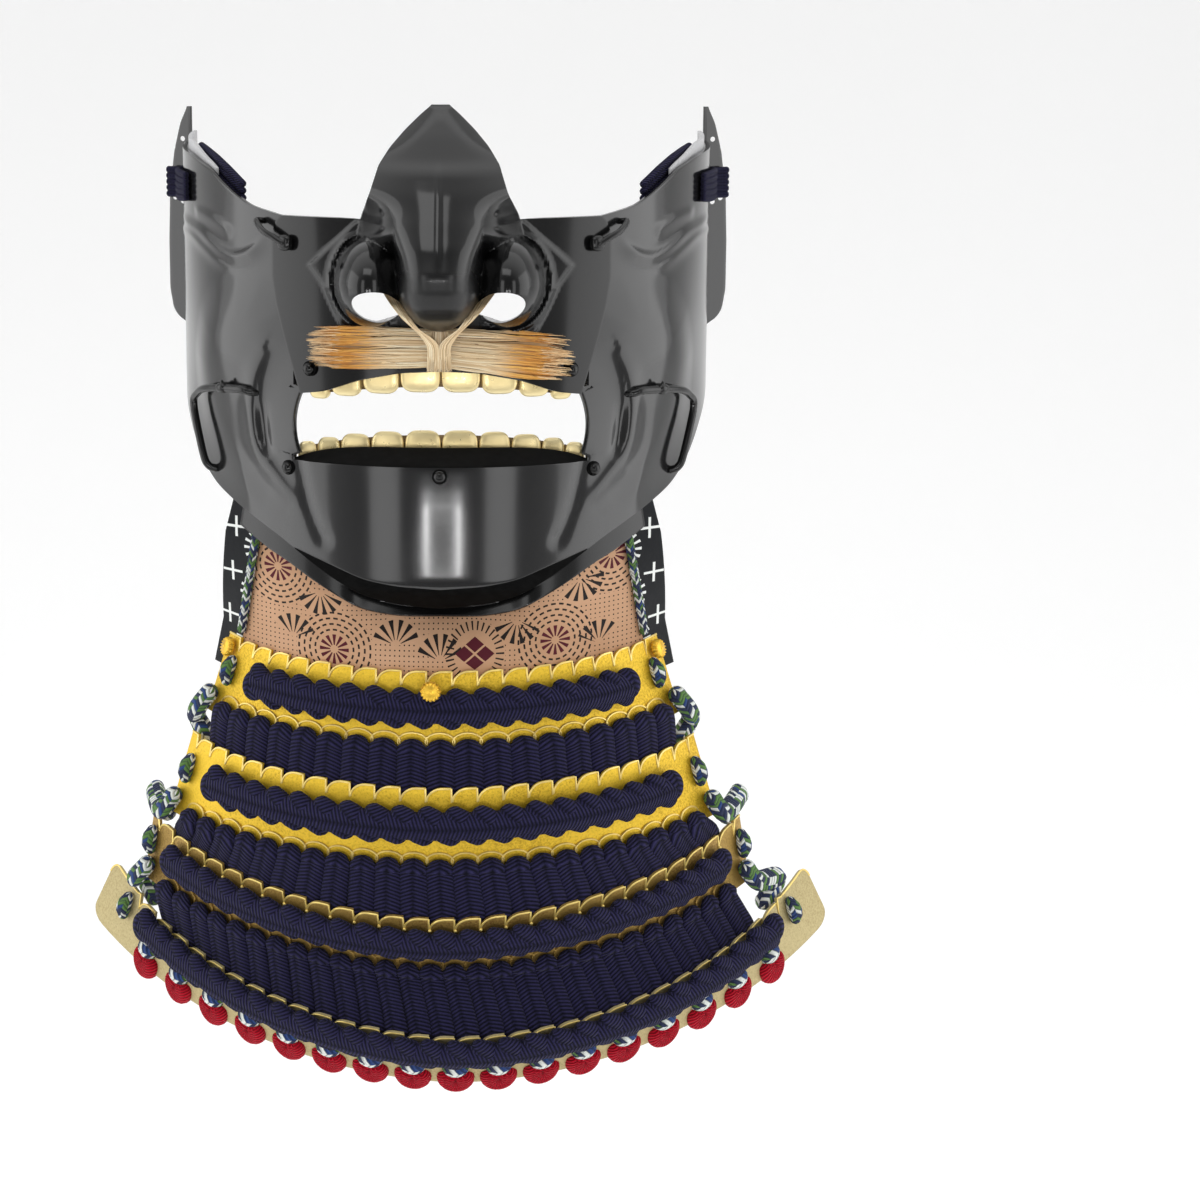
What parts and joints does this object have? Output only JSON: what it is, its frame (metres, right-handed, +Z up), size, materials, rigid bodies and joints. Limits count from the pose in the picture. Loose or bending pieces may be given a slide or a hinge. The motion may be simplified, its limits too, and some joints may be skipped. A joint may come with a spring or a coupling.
{
  "type": "samurai face guard",
  "caption": "Black lacquered half mask with nose, moustache and gilt teeth, and a navy laced throat guard of gilt lames with a red corded hem",
  "frame": {"origin": "the seat of the chin, in the hollow of the chin plate, on the middle line", "axes": "+Z up along the face, +X to the viewer's right of a mask seen from the front, the face looks along -Y"},
  "size_m": [0.2492, 0.1419, 0.3144],
  "materials": {
    "black_lacquer": "gloss",
    "black_iron": "satin",
    "gilt_lame": "matte",
    "gilt_teeth": "satin",
    "navy_cord": "matte",
    "red_cord": "matte",
    "speckled_cord": "matte",
    "tan_leather": "matte",
    "black_leather": "satin",
    "grey_leather": "matte",
    "tan_hair": "matte"
  },
  "bodies": {
    "root": {"cheek_bar_left": "black_iron", "cheek_bar_right": "black_iron", "ear_liner_left": "grey_leather", "ear_liner_right": "grey_leather", "edge_braid_left": "speckled_cord", "edge_braid_right": "speckled_cord", "hem_lacing_red": "red_cord", "hem_lacing_speckled": "speckled_cord", "knot_left_1": "speckled_cord", "knot_left_2": "speckled_cord", "knot_left_3": "speckled_cord", "knot_left_4": "speckled_cord", "knot_right_1": "speckled_cord", "knot_right_2": "speckled_cord", "knot_right_3": "speckled_cord", "knot_right_4": "speckled_cord", "lacing_1": "navy_cord", "lacing_2": "navy_cord", "lacing_3": "navy_cord", "lame_1": "gilt_lame", "lame_2": "gilt_lame", "lame_3": "gilt_lame", "lame_4": "gilt_lame", "lower_teeth": "gilt_teeth", "mask_shell": "black_lacquer", "moustache": "tan_hair", "moustache_tie": "tan_hair", "nose_hook_left": "black_iron", "nose_hook_right": "black_iron", "nose_plate": "black_lacquer", "rivet_chin": "black_lacquer", "rivet_jaw_left": "black_lacquer", "rivet_jaw_right": "black_lacquer", "rivet_lip_left": "black_lacquer", "rivet_lip_right": "black_lacquer", "roll_1": "navy_cord", "roll_2": "navy_cord", "roll_3": "navy_cord", "roll_4": "navy_cord", "side_leather_left": "black_leather", "side_leather_right": "black_leather", "side_loop_left_1": "speckled_cord", "side_loop_left_2": "speckled_cord", "side_loop_left_3": "speckled_cord", "side_loop_right_1": "speckled_cord", "side_loop_right_2": "speckled_cord", "side_loop_right_3": "speckled_cord", "stud_left": "gilt_lame", "stud_middle": "gilt_lame", "stud_right": "gilt_lame", "throat_leather": "tan_leather", "throat_rim": "black_iron", "tie_cord_left": "navy_cord", "tie_cord_right": "navy_cord", "tie_end_left": "navy_cord", "tie_end_right": "navy_cord", "upper_teeth": "gilt_teeth"}
  },
  "joints": []
}
